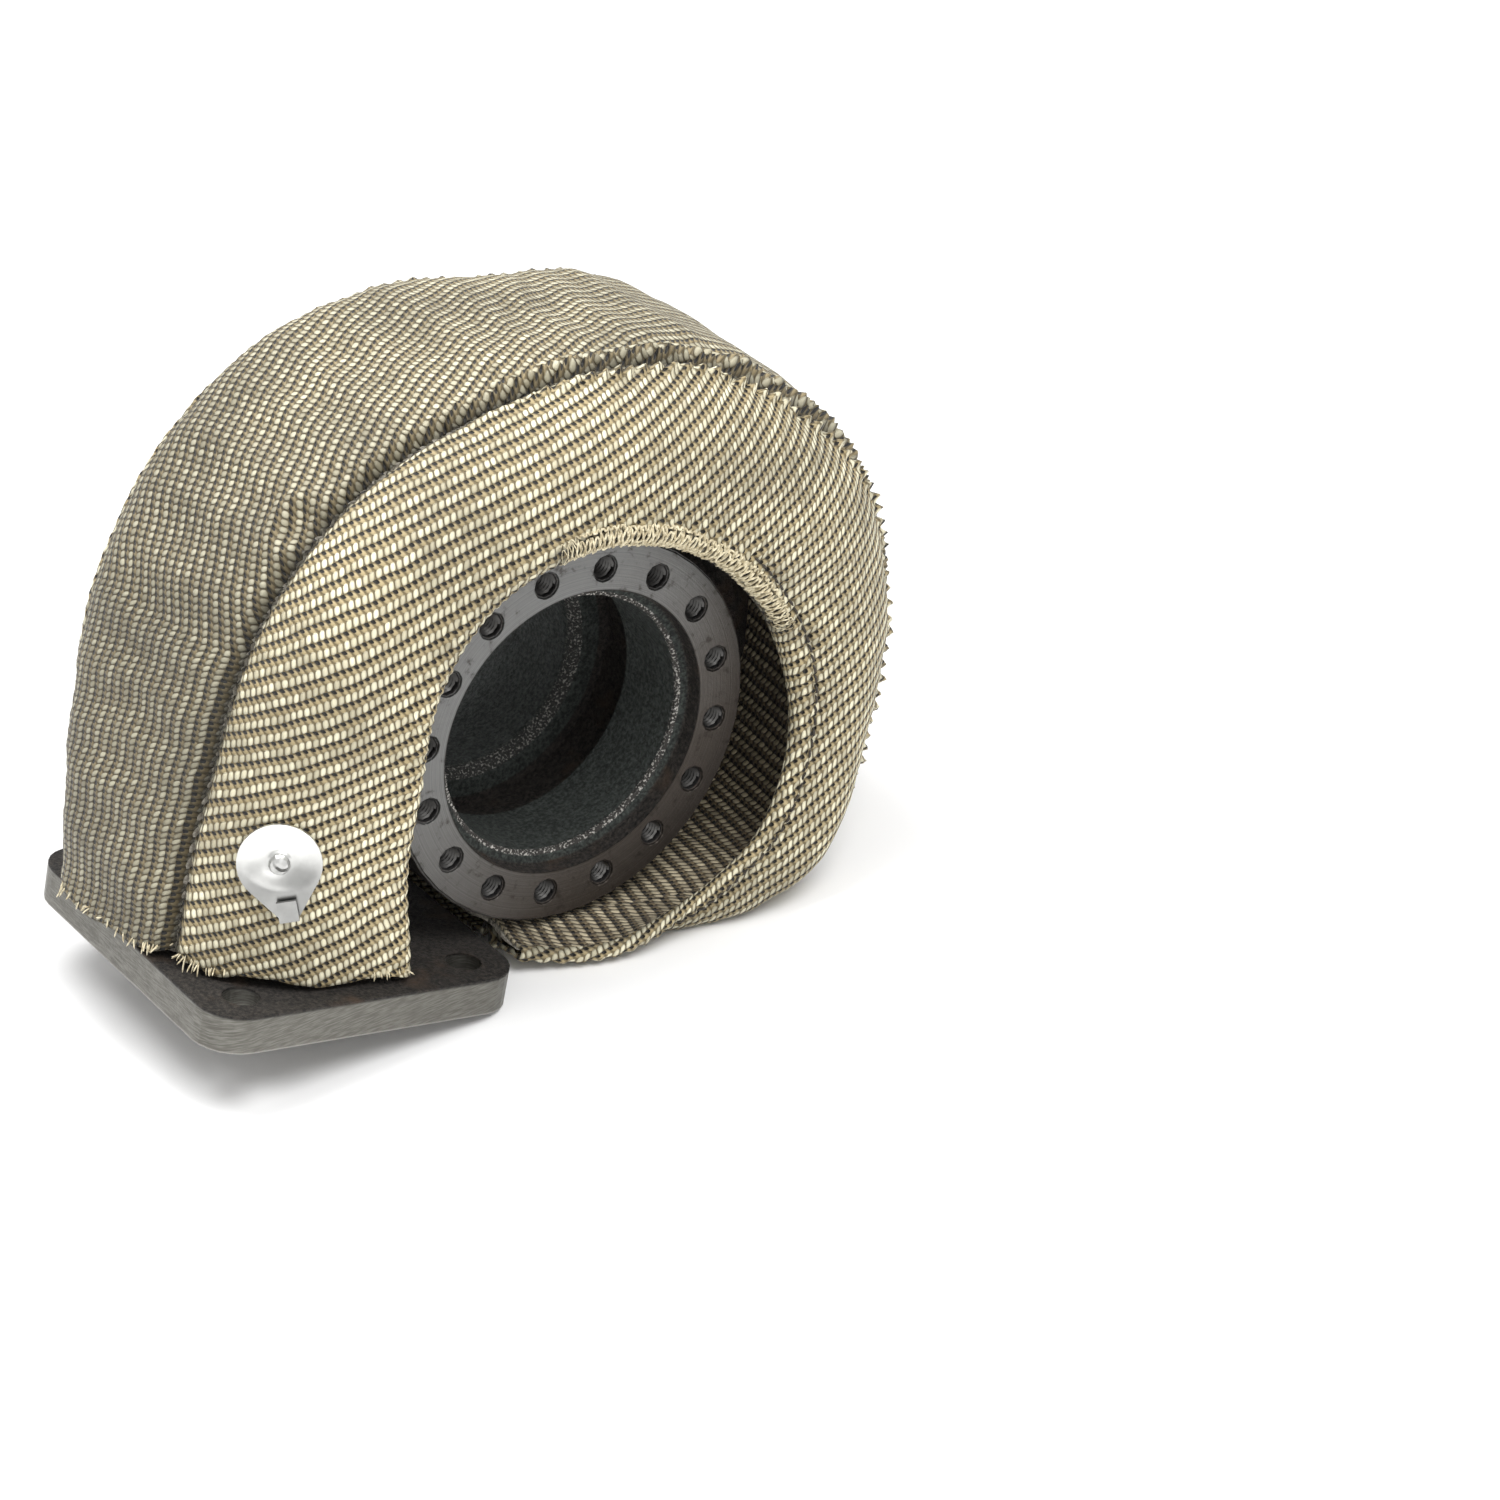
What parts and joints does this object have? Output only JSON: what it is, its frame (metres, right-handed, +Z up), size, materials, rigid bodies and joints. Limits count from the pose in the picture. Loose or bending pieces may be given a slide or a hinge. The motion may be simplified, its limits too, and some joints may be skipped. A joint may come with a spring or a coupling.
{
  "type": "turbo heat blanket",
  "caption": "Padded woven heat blanket sewn as a spiral pouch round a cast turbine housing, open at the bolted ring, the outlet and the foot flange, with riveted lacing hooks.",
  "frame": {"origin": "middle of the bounding box, on the surface that the part rests on", "axes": "+Y along the turbine axis from the bolted ring to the outlet, +Z up as the part rests, +X to the right as seen from the ring; the part rests tipped by 13.6 degrees about Y"},
  "size_m": [0.2484, 0.1434, 0.18],
  "materials": {
    "cast_housing": "dark cast iron with machined faces",
    "woven_cloth": "heavy twill weave, tan with pale floats",
    "needled_mat": "needled mineral fibre mat",
    "lining_cloth": "woven heat-resistant lining",
    "stainless": "polished stainless"
  },
  "bodies": {
    "root": {"turbine_housing": "cast_housing", "outer_cloth_front": "woven_cloth", "insulation_mat_front": "needled_mat", "inner_lining_front": "lining_cloth", "outer_cloth_band": "woven_cloth", "insulation_mat_band": "needled_mat", "inner_lining_band": "lining_cloth", "outer_cloth_rear": "woven_cloth", "insulation_mat_rear": "needled_mat", "inner_lining_rear": "lining_cloth", "lacing_hook_front": "stainless", "rivet_front": "stainless", "backing_washer_front": "stainless", "lacing_hook_rear": "stainless", "rivet_rear": "stainless", "backing_washer_rear": "stainless"}
  },
  "joints": []
}
